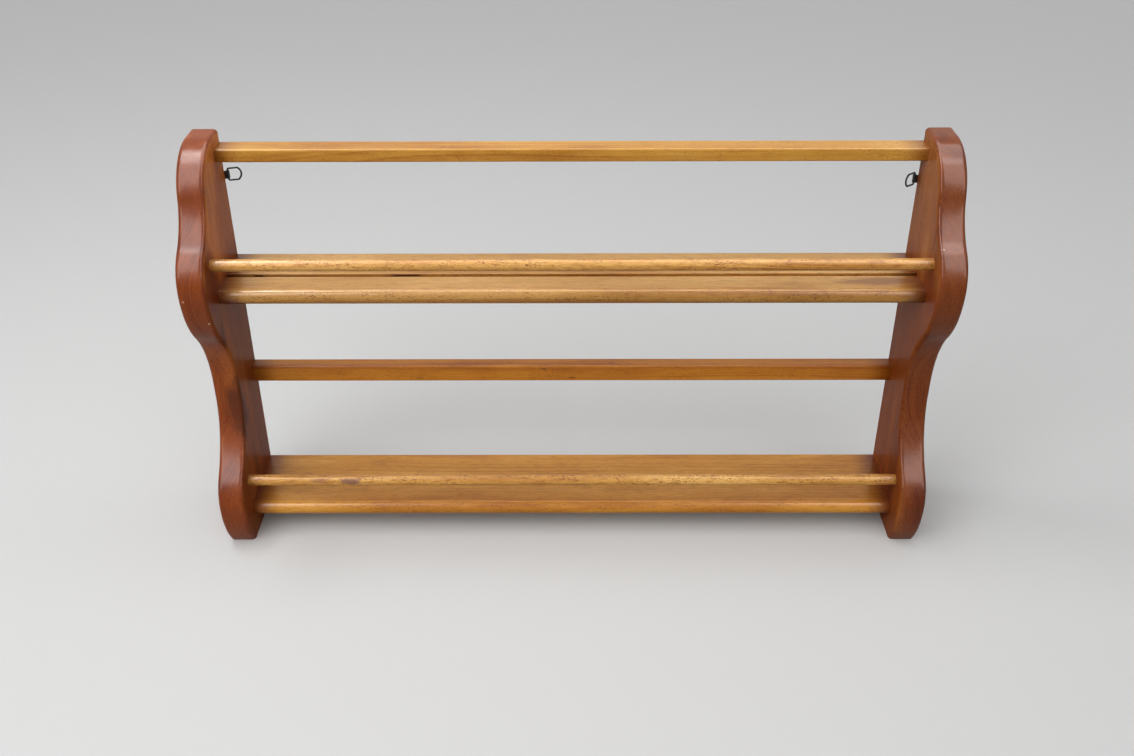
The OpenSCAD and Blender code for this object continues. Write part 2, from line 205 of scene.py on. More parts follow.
def touching(first, first_reach, second, second_reach):
    """The front one of the two points that lie the given reaches from two centres, by the law of cosines."""
    span = np.subtract(second, first)
    far = np.linalg.norm(span)
    along = (far ** 2 + first_reach ** 2 - second_reach ** 2) / (2 * far)
    aside = math.sqrt(first_reach ** 2 - along ** 2)
    ahead = np.array([span[1], -span[0]]) / far
    ahead = ahead if ahead[0] > 0 else -ahead
    return np.add(first, span / far * along) + ahead * aside


def bow_of(centre, radius, start, end):
    """Points along part of a circle, start and end in degrees, about every 1.6 mm."""
    count = max(4, int(abs(math.radians(end - start)) * radius / 0.0016))
    angle = np.radians(np.linspace(start, end, count))
    return np.column_stack([centre[0] + radius * np.cos(angle), centre[1] + radius * np.sin(angle)])


def bearing(from_point, to_point):
    """The angle of the line from one point to another, in degrees."""
    return math.degrees(math.atan2(to_point[1] - from_point[1], to_point[0] - from_point[0]))


def straight(start, end, step=0.002):
    """Evenly spaced points strictly between two ends."""
    count = max(2, int(np.linalg.norm(np.subtract(end, start)) / step))
    t = np.linspace(0, 1, count + 1)[1:-1, None]
    return (1 - t) * np.array(start) + t * np.array(end)


# Centres of the arcs, as depth from the back and height. An arc touches the next where their centres lie
# the two radii apart.
low_fullest, high_fullest = lower_top + fullest_rise, upper_top + fullest_rise
belly_centre, shoulder_centre = side_depth - belly_radius, side_depth - shoulder_radius
low_belly, low_shoulder = (belly_centre, low_fullest), (shoulder_centre, low_fullest)
high_belly, high_shoulder = (belly_centre, high_fullest), (shoulder_centre, high_fullest)
neck_rise = third_side(shoulder_radius + low_neck_radius, waist_depth + low_neck_radius - shoulder_centre)
low_neck = (waist_depth + low_neck_radius, low_fullest + neck_rise)
sweep_drop = third_side(sweep_radius + belly_radius, waist_depth + sweep_radius - belly_centre)
sweep = (waist_depth + sweep_radius, high_fullest - sweep_drop)
head = (top_flat, side_height - head_radius)
neck = touching(head, head_radius + neck_radius, high_shoulder, shoulder_radius + neck_radius)
foot_front = belly_centre + third_side(belly_radius, low_fullest)

# The arcs from the foot up to the head. Each starts a step after the end of the one before it.
front_line = np.concatenate([
    bow_of(low_belly, belly_radius, bearing(low_belly, (foot_front, 0.0)), 0),
    bow_of(low_shoulder, shoulder_radius, 1, bearing(low_shoulder, low_neck)),
    bow_of(low_neck, low_neck_radius, 180 + bearing(low_shoulder, low_neck) - 0.7, 180),
    straight((waist_depth, low_neck[1]), (waist_depth, sweep[1])),
    bow_of(sweep, sweep_radius, 180, bearing(sweep, high_belly)),
    bow_of(high_belly, belly_radius, bearing(sweep, high_belly) - 180 + 0.7, 0),
    bow_of(high_shoulder, shoulder_radius, 1, bearing(high_shoulder, neck)),
    bow_of(neck, neck_radius, 180 + bearing(high_shoulder, neck) - 1, 360 + bearing(neck, head)),
    bow_of(head, head_radius, 180 + bearing(neck, head) + 1.2, 90)])
top_line = straight((top_flat, side_height), (0.0, side_height))
front_line = np.vstack([front_line, top_line, [(0.0, side_height)]])
front_line[0] = foot_front, 0.0

# The back line has a point across from each point of the front line, from the lowest rung up to the highest.
lowest_rung, under_the_top, heel_gap = 0.004, 0.0066, 0.0070
first_rung = int(np.argmax(front_line[:, 1] > lowest_rung))
climb = front_line[first_rung:, 1]
evened = 0.6 * climb + 0.4 * np.linspace(climb[0], climb[-1], len(climb))
back_heights = np.interp(evened, [climb[0], side_height], [lowest_rung, side_height - under_the_top])
back_line = np.column_stack([np.zeros(len(climb)), back_heights])[::-1]
foot_line = np.vstack([[(0.0, 0.0)], straight((0.0, 0.0), (foot_front - heel_gap, 0.0))])
side_line = np.vstack([front_line, back_line, foot_line])


def inward(line):
    """For a closed line walked counterclockwise, the direction into the board at each point, long enough at
    a corner to keep the offset sides parallel: the sum of the sides' normals n and m, over 1 plus n dot m.
    Where the rounded front and top run out, it stays in the foot and in the back."""
    ahead = np.roll(line, -1, axis=0) - line
    ahead /= np.linalg.norm(ahead, axis=1)[:, None]
    left_of = np.column_stack([-ahead[:, 1], ahead[:, 0]])
    before = np.roll(left_of, 1, axis=0)
    into = (left_of + before) / (1 + np.sum(left_of * before, axis=1))[:, None]
    into[0] = 1 / left_of[0, 0], 0.0
    into[len(front_line) - 1] = 0.0, -1.0
    return into


def put_mesh(name, points, faces, material):
    """Makes one finished piece of the rack, which stands for the CAD piece of its name, smooth shaded."""
    mesh = bpy.data.meshes.new(name)
    mesh.from_pydata(points.tolist(), [], faces)
    mesh.validate()
    mesh.materials.append(material)
    mesh.polygons.foreach_set("use_smooth", np.ones(len(mesh.polygons), dtype=bool))
    mesh.set_sharp_from_angle(angle=math.radians(40))
    mesh.update()
    piece = bpy.data.objects.new(name, mesh)
    bpy.context.collection.objects.link(piece)
    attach(piece, "rack")
    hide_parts(name)


def grid_faces(rows, columns, close_rows=False, close_columns=False):
    """The four-sided faces of a grid of points, numbered row by row and joined round where it closes."""
    down_to = np.arange(rows if close_rows else rows - 1)[:, None]
    along_to = np.arange(columns if close_columns else columns - 1)[None, :]
    next_down, next_along = (down_to + 1) % rows, (along_to + 1) % columns
    corners = np.stack(np.broadcast_arrays(
        down_to * columns + along_to, down_to * columns + next_along,
        next_down * columns + next_along, next_down * columns + along_to), axis=-1)
    return corners.reshape(-1, 4).tolist()


def side_board(name, material, hand):
    """The side as a grid: its line carried round a rim section. A point at angle a of the rounding lies
    r(1 - sin a) inside the line and r(1 - cos a) in from the face, where r is 5 mm at the front and top and
    under 1 mm at the back and the foot. Each face is filled by rungs from its front line to its back line."""
    front_count = len(front_line)
    reach = np.where(np.arange(len(side_line)) < front_count, rounding, crisp)[:, None]
    angle = np.radians(np.linspace(0, 90, 8))[None, :]
    half, margin, none = side_thick / 2, 0.0008, np.zeros_like(reach)
    inset = np.hstack([reach + margin, reach * (1 - np.sin(angle)), none, none])
    out = np.hstack([none + half, half - reach + reach * np.cos(angle), half - reach - margin, none])
    inset = np.hstack([inset, inset[:, -2::-1]])
    out = np.hstack([out, -out[:, -2::-1]])
    place = side_line[:, None, :] + inward(side_line)[:, None, :] * inset[:, :, None]
    points = np.stack([hand * (inner_face + half) + out, BACK - place[:, :, 0], place[:, :, 1]], axis=-1)
    rows, columns = points.shape[:2]
    rung = np.arange(first_rung, front_count - 1)
    rear = front_count + front_count - 1 - rung
    rungs = np.column_stack([rung, rung + 1, rear - 1, rear])
    heel = np.concatenate([np.arange(first_rung + 1), np.arange(front_count + len(back_line) - 1, rows)])
    faces = grid_faces(rows, columns, close_rows=True)
    for column, step in ((0, -1), (columns - 1, 1)):
        faces += (rungs[:, ::step] * columns + column).tolist()
        faces.append((heel[::step] * columns + column).tolist())
    put_mesh(name, points.reshape(-1, 3), faces, material)


def new_pattern(name, takes, gives):
    """An empty shader node group, with named inputs of the given kinds and named outputs of plain values."""
    tree = bpy.data.node_groups.new(name, "ShaderNodeTree")
    for key, kind in takes.items():
        tree.interface.new_socket(key, in_out="INPUT", socket_type="NodeSocket" + kind)
    for key in gives:
        tree.interface.new_socket(key, in_out="OUTPUT", socket_type="NodeSocketFloat")
    return tree, tree.nodes.new("NodeGroupInput").outputs, tree.nodes.new("NodeGroupOutput").inputs


def pushed(tree, operation, first, second):
    """One arithmetic step on two vectors in a shader."""
    return joined(tree, "ShaderNodeVectorMath", {"operation": operation}, i0=first, i1=second).outputs[0]


def speckle(tree, vector, stretch, detail=3.0, roughness=0.5, give="Fac"):
    """Noise in lumps of 1 / stretch metres along each axis, from 0 to 1."""
    drawn = pushed(tree, "MULTIPLY", vector, stretch)
    return joined(tree, "ShaderNodeTexNoise", {"noise_dimensions": "3D"}, Vector=drawn,
                  Scale=1.0, Detail=detail, Roughness=roughness).outputs[give]


# Sawn wood, as a solid: growth rings round a heart that runs beside the board, with X along the tree.
# The rings wander slowly along it. Fibres are fine streaks, pores are short dark dashes, and clouds and
# mottle are slow and quick changes of tone.
grain, take, give = new_pattern("sawn_wood", {
    "Vector": "Vector", "Ring Width": "Float", "Heart Y": "Float", "Heart Z": "Float", "Wander": "Float",
    "Seed": "Float"}, ("Rings", "Fibres", "Pores", "Clouds", "Mottle"))
moved = joined(grain, "ShaderNodeCombineXYZ", X=take["Seed"], Y=take["Seed"], Z=take["Seed"]).outputs[0]
moved = pushed(grain, "ADD", take["Vector"], moved)


def wandering(stretch, detail, reach):
    """A push sideways by soft noise, up to half of reach each way."""
    soft = speckle(grain, moved, stretch, detail=detail, give="Color")
    centred = pushed(grain, "SUBTRACT", soft, (0.5, 0.5, 0.5))
    return joined(grain, "ShaderNodeVectorMath", {"operation": "SCALE"}, i0=centred, Scale=reach).outputs[0]


bent = pushed(grain, "ADD", wandering((1.7, 7.0, 7.0), 1.0, take["Wander"]),
              wandering((12.0, 60.0, 60.0), 2.0, 0.0012))
bent = pushed(grain, "ADD", take["Vector"], bent)
across = joined(grain, "ShaderNodeSeparateXYZ", Vector=bent).outputs
from_y = counted(grain, "SUBTRACT", across["Y"], take["Heart Y"])
from_z = counted(grain, "SUBTRACT", across["Z"], take["Heart Z"])
squares = counted(grain, "MULTIPLY", from_y, from_y), counted(grain, "MULTIPLY", from_z, from_z)
squares = counted(grain, "ADD", *squares)
years = counted(grain, "DIVIDE", counted(grain, "SQRT", squares), take["Ring Width"])
uneven = joined(grain, "ShaderNodeTexNoise", {"noise_dimensions": "1D"},
                W=counted(grain, "ADD", years, take["Seed"]), Scale=0.31, Detail=2.0).outputs[0]
years = counted(grain, "ADD", years, counted(grain, "MULTIPLY", uneven, 5.0))
part = counted(grain, "FRACT", years)
late = counted(grain, "POWER", part, 2.6)
ring = counted(grain, "MULTIPLY", late, carried(grain, part, 0.86, 1.0, 1.0, 0.0, smooth=True))
faded = speckle(grain, moved, (2.4, 34.0, 34.0), detail=2.0)
faded = carried(grain, faded, 0.36, 0.66, 0.25, 1.6, smooth=True)
grain.links.new(counted(grain, "MULTIPLY", ring, faded, clamp=True), give["Rings"])
fibre = speckle(grain, moved, (16.0, 900.0, 900.0), detail=4.0, roughness=0.6)
grain.links.new(fibre, give["Fibres"])
dash = speckle(grain, moved, (330.0, 620.0, 620.0), detail=1.0)
dash = carried(grain, dash, 0.53, 0.66, 0.0, 1.0, smooth=True)
flock = speckle(grain, moved, (22.0, 90.0, 90.0), detail=2.0)
flock = carried(grain, flock, 0.40, 0.62, 0.25, 1.0, smooth=True)
grain.links.new(counted(grain, "MULTIPLY", dash, flock), give["Pores"])
grain.links.new(speckle(grain, moved, (5.0, 22.0, 22.0)), give["Clouds"])
grain.links.new(speckle(grain, moved, (70.0, 330.0, 330.0), roughness=0.6), give["Mottle"])

# A single mark, such as a dent or a stain: an uneven patch about its place, fading out at its edge.
mark, take, give = new_pattern(
    "small_mark", {"Vector": "Vector", "Place": "Vector", "Per Metre": "Vector"}, ("Mask",))
away = pushed(mark, "MULTIPLY", pushed(mark, "SUBTRACT", take["Vector"], take["Place"]), take["Per Metre"])
ragged = joined(mark, "ShaderNodeTexNoise", {"noise_dimensions": "3D"}, Vector=away, Scale=1.6, Detail=2.0)
away = joined(mark, "ShaderNodeVectorMath", {"operation": "LENGTH"}, i0=away).outputs["Value"]
away = counted(mark, "ADD", away, ragged.outputs[0])
mark.links.new(carried(mark, away, 1.0, 1.6, 1.0, 0.0, smooth=True), give["Mask"])


def along_the_tree(tree, lean_y, lean_z):
    """The piece's own coordinates, turned by two angles in degrees so that X runs along its tree."""
    own = tree.nodes.new("ShaderNodeTexCoord").outputs["Object"]
    turn = 0.0, math.radians(lean_y), math.radians(lean_z)
    return joined(tree, "ShaderNodeMapping", {"vector_type": "TEXTURE"}, Vector=own, Rotation=turn).outputs[0]


def wood_pattern(tree, vector, heart, **values):
    """Places the sawn wood pattern with this board's own values. The heart is its place in Y and Z."""
    return joined(tree, "ShaderNodeGroup", {"node_tree": grain}, Vector=vector,
                  Heart_Y=heart[0], Heart_Z=heart[1], **values).outputs


def tint(red, green, blue):
    """A colour as seen on a screen, 0 to 255, turned into the linear colour that a shader takes."""
    seen = np.array([red, green, blue]) / 255.0
    linear = np.where(seen <= 0.04045, seen / 12.92, ((seen + 0.055) / 1.055) ** 2.4)
    return (*linear.tolist(), 1.0)


def shades(tree, factor, *stops):
    """A run of colours along a factor, each stop being a place from 0 to 1 and a colour."""
    ramp = joined(tree, "ShaderNodeValToRGB", Fac=factor)
    ramp.color_ramp.interpolation = "EASE"
    for i, (place, colour) in enumerate(stops):
        stop = ramp.color_ramp.elements[i] if i < 2 else ramp.color_ramp.elements.new(place)
        stop.position, stop.color = place, tint(*colour)
    return ramp.outputs[0]


def blended(tree, mode, factor, first, second):
    """Lays the second colour over the first, in a blend mode, by a factor."""
    mix = joined(tree, "ShaderNodeMix", {"data_type": "RGBA", "blend_type": mode, "clamp_factor": True},
                 i0=factor, i6=first, i7=second)
    return mix.outputs[2]


def marked(tree, colour, marks, within=1.0):
    """Lays each mark over a colour: its place, its half size each way, its own colour and its strength.
    Within says where the marks may show at all."""
    own = tree.nodes.new("ShaderNodeTexCoord").outputs["Object"]
    for place, size, own_colour, strength in marks:
        patch = joined(tree, "ShaderNodeGroup", {"node_tree": mark}, Vector=own, Place=place,
                       Per_Metre=tuple(1 / half for half in size)).outputs[0]
        amount = counted(tree, "MULTIPLY", counted(tree, "MULTIPLY", patch, strength), within)
        colour = blended(tree, "MIX", amount, colour, tint(*own_colour))
    return colour


def new_finish(name):
    """A new material, with its node tree and its main shader's inputs."""
    material = bpy.data.materials.new(name)
    material.use_nodes = True
    return material, material.node_tree, material.node_tree.nodes["Principled BSDF"].inputs


def side_finish(name, hand, lean, heart, seed, rim_tone_and_shade, inside_painted_light, marks):
    """Red brown stain and gloss varnish over pine: darker in the late wood, cloudy, with fine lines along the
    grain. The rim and the inside above the upper shelf each have a tone by which the stain is multiplied. The
    rim's tone is partly painted shade, darkest on the right side, where less light falls. The inside's tone
    is painted light, which lightens the inside above the upper shelf, where more light falls. The varnish is
    thin on the flat faces and thick on the rim."""
    material, tree, shader = new_finish(name)
    own = along_the_tree(tree, *lean)
    wood = wood_pattern(tree, own, heart, Ring_Width=0.0034, Wander=0.011, Seed=seed)
    stain = shades(tree, wood["Clouds"], (0.30, (113, 51, 14)), (0.52, (140, 72, 25)), (0.72, (161, 93, 38)))
    rings = counted(tree, "MULTIPLY", wood["Rings"], 0.5)
    stain = blended(tree, "MULTIPLY", rings, stain, tint(176, 136, 98))
    fine = carried(tree, wood["Fibres"], 0.36, 0.64, 0.0, 0.45)
    stain = blended(tree, "MULTIPLY", fine, stain, tint(190, 156, 130))
    stain = blended(tree, "MIX", counted(tree, "MULTIPLY", wood["Pores"], 0.4), stain, tint(62, 22, 8))
    facing = coordinates(tree, "Normal")["X"]
    rim = carried(tree, counted(tree, "ABSOLUTE", facing), 0.6, 0.97, 1.0, 0.0, smooth=True)
    inside = carried(tree, counted(tree, "MULTIPLY", facing, float(-hand)), 0.8, 0.97, 0.0, 1.0)
    above = carried(tree, coordinates(tree, "Object")["Z"], 0.350, 0.410, 0.0, 1.0, smooth=True)
    # The rim tone is partly painted shade: it darkens the rim, most on the right side, where less light
    # falls.
    stain = blended(tree, "MULTIPLY", rim, stain, (*rim_tone_and_shade, 1.0))
    # Painted light: the inside above the upper shelf is lightened, where more light falls.
    stain = blended(tree, "MULTIPLY", counted(tree, "MULTIPLY", inside, above), stain, (*inside_painted_light, 1.0))
    tree.links.new(marked(tree, stain, marks), shader["Base Color"])
    tree.links.new(carried(tree, wood["Clouds"], 0.3, 0.7, 0.42, 0.52), shader["Roughness"])
    shader["Specular IOR Level"].default_value = 0.04
    tree.links.new(carried(tree, rim, 0.0, 1.0, 0.07, 0.3), shader["Coat Weight"])
    shader["Coat Roughness"].default_value = 0.17
    brushed = speckle(tree, own, (45.0, 95.0, 95.0), detail=1.0)
    swell = joined(tree, "ShaderNodeBump", Height=brushed, Strength=0.35, Distance=0.0008).outputs[0]
    fibres = wood["Fibres"]
    ripple = joined(tree, "ShaderNodeBump", Height=fibres, Normal=swell, Strength=0.12, Distance=0.0003)
    tree.links.new(ripple.outputs[0], shader["Normal"])
    return material


# Two chips, painted shade under the belly, a dark patch on the waist, and painted shade round the upper
# dowel's end.
left_wood = side_finish(
    "left_side_stain", -1, lean=(-87, 4), heart=(-0.10, 0.355), seed=3.1,
    # The inside tone is painted light above the upper shelf.
    rim_tone_and_shade=(0.95, 0.80, 0.66), inside_painted_light=(2.5, 3.7, 6.0), marks=[
        ((-0.428, -0.0696, 0.3383), (0.0014, 0.0016, 0.0014), (226, 190, 160), 0.9),
        ((-0.451, -0.0775, 0.3718), (0.0016, 0.0016, 0.0022), (196, 140, 100), 0.7),
        ((-0.424, -0.0393, 0.2939), (0.006, 0.012, 0.030), (70, 26, 8), 0.5),
        ((-0.424, -0.0172, 0.184), (0.022, 0.020, 0.050), (70, 28, 9), 0.75),
        ((-0.424, -0.0480, 0.378), (0.008, 0.036, 0.040), (104, 42, 16), 0.8)])
# One chip, painted shade under the belly, and painted shade round the upper dowel's end.
right_wood = side_finish(
    "right_side_stain", 1, lean=(-93, -4), heart=(-0.12, -0.355), seed=8.7,
    # The darker rim tone is painted shade, and the inside tone is painted light above the upper shelf.
    rim_tone_and_shade=(0.76, 0.70, 0.62), inside_painted_light=(1.25, 1.75, 2.9), marks=[
        ((0.429, -0.0537, 0.426), (0.0020, 0.0016, 0.0014), (204, 164, 136), 0.5),
        ((0.432, -0.0518, 0.3089), (0.010, 0.010, 0.012), (70, 30, 12), 0.35),
        ((0.424, -0.0440, 0.366), (0.008, 0.034, 0.030), (112, 46, 16), 0.6)])
side_board("left_side", left_wood, -1)
side_board("right_side", right_wood, 1)

# ---- The two shelves ----
# Each shelf is a 19 mm board between the sides, with a half-round nose and a groove for the plates' rims.
# Golden satin varnish; the groove has gathered dark stain and is nearly black in places.
upper_shelf_depth, lower_shelf_depth = 0.1065, 0.1145
groove_back, groove_front, groove_deep = 0.0575, 0.066, 0.005


def eased(before, corner, after):
    """A small round corner: a quadratic Bezier curve that leaves towards the corner and arrives from it."""
    t = np.linspace(0, 1, 6)[:, None]
    return (1 - t) ** 2 * np.array(before) + 2 * t * (1 - t) * np.array(corner) + t ** 2 * np.array(after)


def softened(corners, size):
    """A closed section with each corner cut back by its own small size and rounded, plus a point just outside
    each rounding."""
    runs = []
    for i, (corner, cut) in enumerate(zip(corners, size)):
        corner = np.array(corner)
        to_last, to_next = corners[i - 1] - corner, corners[(i + 1) % len(corners)] - corner
        to_last, to_next = to_last / np.linalg.norm(to_last), to_next / np.linalg.norm(to_next)
        runs += [corner + to_last * cut * 1.8,
                 eased(corner + to_last * cut, corner, corner + to_next * cut),
                 corner + to_next * cut * 1.8]
    return np.vstack([np.atleast_2d(run) for run in runs])


def closed_bar(name, points, material):
    """A bar from a grid of points whose rows are rings along it, closed by a flat face at both ends."""
    rows, columns = points.shape[:2]
    faces = grid_faces(rows, columns, close_columns=True)
    faces.append(list(range(columns))[::-1])
    faces.append(list(range((rows - 1) * columns, rows * columns)))
    put_mesh(name, points.reshape(-1, 3), faces, material)


def lengthwise(name, section, material):
    """A section of depth and height carried straight along X between the sides."""
    half, next_in, inner = inner_face, inner_face - 0.001, inner_face - 0.02
    along = np.concatenate([[-half, -next_in], np.linspace(-inner, inner, 24), [next_in, half]])
    points = np.broadcast_arrays(along[:, None], BACK - section[None, :, 0], section[None, :, 1])
    closed_bar(name, np.stack(points, axis=-1), material)


def shelf_section(name, depth):
    """The shelf cut across, walked from the nose up and back: a half circle at the front, then the flat top
    with its groove, the square back and the flat underside, with every sharp edge slightly eased."""
    low, top = (corner[2] for corner in cad_corners(name))
    nose = (top - low) / 2
    half_round = bow_of((depth - nose, low + nose), nose, -88, 88)
    groove_floor = top - groove_deep
    rest = softened(
        [(groove_front, top), (groove_front, groove_floor), (groove_back, groove_floor), (groove_back, top),
         (0.0, top), (0.0, low)], [0.0007, 0.0006, 0.0006, 0.0007, 0.0006, 0.0006])
    behind_nose = depth - nose - 0.001
    return np.vstack([half_round, [(depth - nose, top), (behind_nose, top)], rest,
                      [(behind_nose, low), (depth - nose, low)]])


def groove_stain(tree, own, body, top, marks):
    """Darkens the plate groove below a shelf's top: golden brown all along it, soot in streaks, and marks."""
    place = coordinates(tree, "Object")
    depth_in = counted(tree, "SUBTRACT", top - 0.0004, place["Z"])
    from_middle = counted(tree, "SUBTRACT", place["Y"], BACK - (groove_back + groove_front) / 2)
    near = carried(tree, counted(tree, "ABSOLUTE", from_middle), 0.0046, 0.0050, 1.0, 0.0)
    held = counted(tree, "MULTIPLY", carried(tree, depth_in, 0.0, 0.0022, 0.0, 1.0, smooth=True), near)
    body = blended(tree, "MIX", counted(tree, "MULTIPLY", held, 0.3), body, tint(160, 100, 44))
    soot = carried(tree, speckle(tree, own, (9.0, 300.0, 40.0)), 0.56, 0.68, 0.0, 0.35, smooth=True)
    body = blended(tree, "MIX", counted(tree, "MULTIPLY", held, soot), body, tint(52, 32, 16))
    walls = carried(tree, depth_in, 0.0, 0.0006, 0.0, 1.0)
    return marked(tree, body, marks, within=counted(tree, "MULTIPLY", walls, near))


def golden_finish(name, lean, heart, seed, ring_width, light, middle, dark, line, flecks=0.35,
                  flat_flecks=1.0, mottled=0.2, coat=0.3, end_darkening=0.75, nose_shade=None, groove_top=None,
                  groove_marks=(), marks=()):
    """Golden satin varnish over a pale hardwood: darker growth lines, fine fibres and small brown dashes, of
    which flat_flecks is the share left on the flat top. The nose's tone is painted shade: it darkens the part
    that faces forwards, where less light falls. The darkening at the ends makes the wood darker within a few
    centimetres of the sides. The groove's top is the height of a shelf's top, given for a board that has a
    groove."""
    material, tree, shader = new_finish(name)
    own = along_the_tree(tree, *lean)
    wood = wood_pattern(tree, own, heart, Ring_Width=ring_width, Wander=0.02, Seed=seed)
    body = shades(tree, wood["Clouds"], (0.32, dark), (0.5, middle), (0.68, light))
    body = blended(tree, "MULTIPLY", counted(tree, "MULTIPLY", wood["Rings"], 0.55), body, tint(*line))
    fine = carried(tree, wood["Fibres"], 0.38, 0.62, 0.0, 0.3)
    body = blended(tree, "MULTIPLY", fine, body, tint(216, 190, 150))
    spots = carried(tree, wood["Mottle"], 0.48, 0.68, 0.0, mottled)
    body = blended(tree, "MULTIPLY", spots, body, tint(176, 128, 74))
    facing = coordinates(tree, "Normal")
    dotted = carried(tree, facing["Z"], 0.75, 0.99, flecks, flecks * flat_flecks, smooth=True)
    body = blended(tree, "MIX", counted(tree, "MULTIPLY", wood["Pores"], dotted), body, tint(112, 56, 8))
    # Painted shade: the forward-facing part of the nose is darkened.
    if nose_shade is not None:
        front = carried(tree, facing["Y"], -0.35, -0.92, 0.0, 1.0, smooth=True)
        body = blended(tree, "MULTIPLY", front, body, (*nose_shade, 1.0))
    if groove_top is not None:
        body = groove_stain(tree, own, body, groove_top, groove_marks)
    # Darker towards each end, within a few centimetres of the sides.
    from_middle = counted(tree, "ABSOLUTE", coordinates(tree, "Object")["X"])
    from_end = counted(tree, "SUBTRACT", inner_face, from_middle)
    from_end = counted(tree, "ADD", from_end, counted(tree, "MULTIPLY", wood["Mottle"], 0.016))
    darker_near_sides = carried(tree, from_end, 0.006, 0.046, end_darkening, 0.0, smooth=True)
    body = blended(tree, "MULTIPLY", darker_near_sides, body, tint(132, 74, 40))
    tree.links.new(marked(tree, body, marks), shader["Base Color"])
    tree.links.new(carried(tree, wood["Fibres"], 0.3, 0.7, 0.40, 0.52), shader["Roughness"])
    shader["Specular IOR Level"].default_value = 0.07
    shader["Coat Weight"].default_value = coat
    shader["Coat Roughness"].default_value = 0.2
    ripple = joined(tree, "ShaderNodeBump", Height=wood["Fibres"], Strength=0.15, Distance=0.0002)
    tree.links.new(ripple.outputs[0], shader["Normal"])
    return material


# The upper shelf has two black stretches in its groove, painted shade under each end of its nose, and a long
# dark mark on its top. The lower one is deeper in colour, partly as painted shade from the upper shelf above
# it.
upper_wood = golden_finish(
    "upper_shelf_varnish", lean=(0.5, 0.4), heart=(-0.06, 0.23), seed=1.7, ring_width=0.0085,
    light=(210, 164, 92), middle=(196, 149, 73), dark=(180, 130, 54), line=(214, 176, 128),
    flecks=0.7, flat_flecks=0.3, mottled=0.3, coat=0.5, end_darkening=0.95, nose_shade=(0.80, 0.73, 0.60),
    groove_top=upper_top, groove_marks=[
        ((-0.3848, 0.0085, 0.3600), (0.0100, 0.0100, 0.0100), (74, 34, 12), 0.85),
        ((-0.2050, 0.0085, 0.3600), (0.0300, 0.0120, 0.0120), (78, 32, 12), 0.88)], marks=[
        # Painted shade under the nose at each end, by the sides.
        ((-0.4090, -0.0310, 0.3480), (0.0240, 0.010, 0.0080), (92, 40, 10), 0.90),
        ((0.3850, -0.0080, 0.3620), (0.0700, 0.012, 0.0060), (116, 64, 34), 0.70),
        ((0.4120, -0.0330, 0.3480), (0.0140, 0.008, 0.0070), (100, 56, 24), 0.60)])
# Its deeper colour is partly painted shade, as the upper shelf shades it.
lower_wood = golden_finish(
    "lower_shelf_varnish", lean=(-0.5, 0.5), heart=(0.12, -0.10), seed=5.2, ring_width=0.0090,
    light=(218, 158, 66), middle=(204, 141, 45), dark=(184, 119, 30), line=(210, 168, 116),
    flecks=0.6, flat_flecks=0.3, mottled=0.3, coat=0.45, end_darkening=0.95, groove_top=lower_top)
lengthwise("upper_shelf", shelf_section("upper_shelf", upper_shelf_depth), upper_wood)
lengthwise("lower_shelf", shelf_section("lower_shelf", lower_shelf_depth), lower_wood)

# ---- The two back rails ----
# Plates lean on these square rails, which are pinned between the sides flush with their back edges.
# The top rail lies flat under the heads; the middle rail is thinner, with small dents along its edges.
def rail_section(name):
    """The rail cut across: square, with its front edges rounded a little more than its back ones."""
    (_, front, low), (_, back, high) = cad_corners(name)
    depth = back - front
    return softened([(depth, low), (depth, high), (0.0, high), (0.0, low)], [0.0026, 0.0028, 0.002, 0.002])


top_wood = golden_finish(
    "top_rail_varnish", lean=(0.7, -0.6), heart=(0.13, 0.47), seed=11.3, ring_width=0.0050,
    light=(212, 163, 80), middle=(200, 147, 58), dark=(178, 122, 38), line=(196, 146, 92))
middle_wood = golden_finish(
    "middle_rail_varnish", lean=(-0.4, 0.5), heart=(0.10, 0.15), seed=14.9, ring_width=0.0044,
    light=(206, 142, 46), middle=(194, 124, 32), dark=(170, 100, 20), line=(190, 140, 90), marks=[
        ((-0.0364, 0.0502, 0.2032), (0.0050, 0.002, 0.0012), (74, 38, 16), 0.8),
        ((0.0007, 0.0502, 0.1899), (0.0060, 0.002, 0.0012), (80, 42, 18), 0.7),
        ((-0.2019, 0.0502, 0.1894), (0.0055, 0.002, 0.0012), (84, 44, 18), 0.6),
        ((0.0539, 0.0582, 0.2075), (0.0060, 0.002, 0.0015), (84, 44, 20), 0.6)])
lengthwise("top_rail", rail_section("top_rail"), top_wood)
lengthwise("middle_rail", rail_section("middle_rail"), middle_wood)

# ---- The two front dowels ----
# Turned hardwood rods that keep the plates from sliding out, glued 13.5 mm deep into the sides.
# Light golden wood with many short brown dashes along the grain.
def dowel_rod(name, material):
    """A rod as a circle carried along X, drawn in by a small bevel at each end."""
    low, high = cad_corners(name)
    _, middle, height = (low + high) / 2
    half, radius = high[0], (high[2] - low[2]) / 2
    bevel, next_in, inner = 0.0008, half - 0.002, 0.42
    along = np.concatenate([[-half, bevel - half, -next_in], np.linspace(-inner, inner, 30),
                            [next_in, half - bevel, half]])
    wide = np.full(len(along), radius)
    wide[[0, -1]] = radius - bevel
    angle = np.linspace(0, 2 * math.pi, 49)[:-1]
    points = np.broadcast_arrays(along[:, None], middle + wide[:, None] * np.cos(angle),
                                 height + wide[:, None] * np.sin(angle))
    closed_bar(name, np.stack(points, axis=-1), material)


